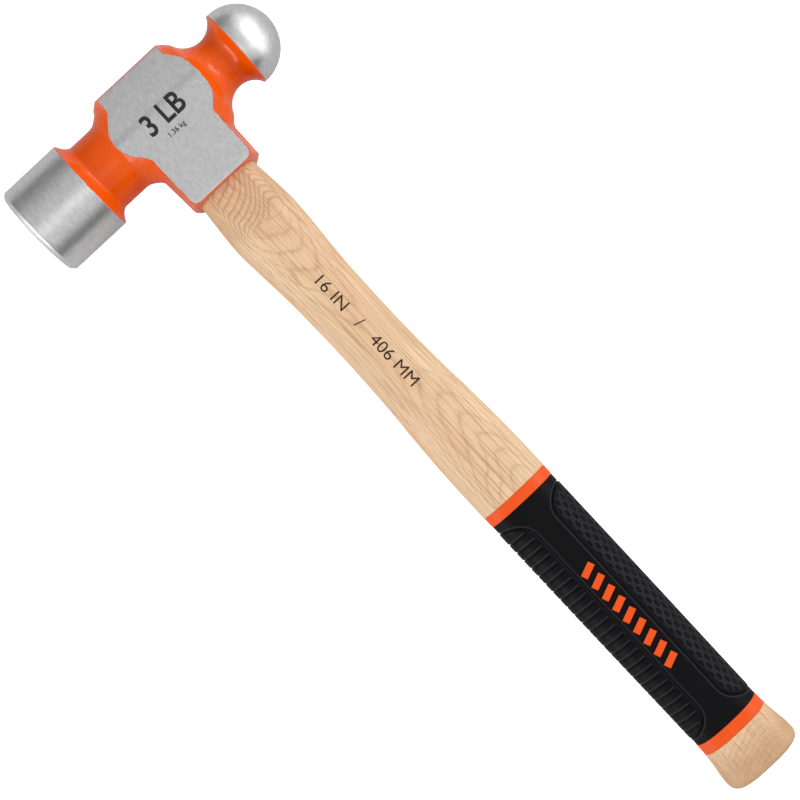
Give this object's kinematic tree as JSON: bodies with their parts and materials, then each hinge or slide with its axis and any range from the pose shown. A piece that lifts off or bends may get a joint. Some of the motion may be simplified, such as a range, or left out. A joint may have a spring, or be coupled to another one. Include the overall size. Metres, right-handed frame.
{
  "type": "ball peen hammer",
  "caption": "Ball peen hammer: steel head with orange-painted neck, oval hickory handle wedged in the eye, black and orange soft grip.",
  "frame": {"origin": "under the middle of the hammer's box, on the plane that it lies on", "axes": "+X along the handle from head to butt, +Y along the head from the striking face to the ball, +Z out of the upper cheek"},
  "size_m": [0.4056, 0.1386, 0.0446],
  "materials": {
    "head_steel": "ground bare steel on poll, ball and cheeks; glossy orange enamel on necks and walls",
    "hickory": "sanded and clear-lacquered",
    "wedge_wood": "raw hardwood",
    "wedge_steel": "stamped mild steel",
    "grip_orange": "satin moulded elastomer",
    "grip_black": "matt moulded elastomer, ribbed and textured panels"
  },
  "bodies": {
    "root": {"head": "head_steel", "handle": "hickory", "wood_wedge": "wedge_wood", "steel_wedge_1": "wedge_steel", "steel_wedge_2": "wedge_steel", "grip_liner": "grip_orange", "grip_cover": "grip_black"}
  },
  "joints": []
}
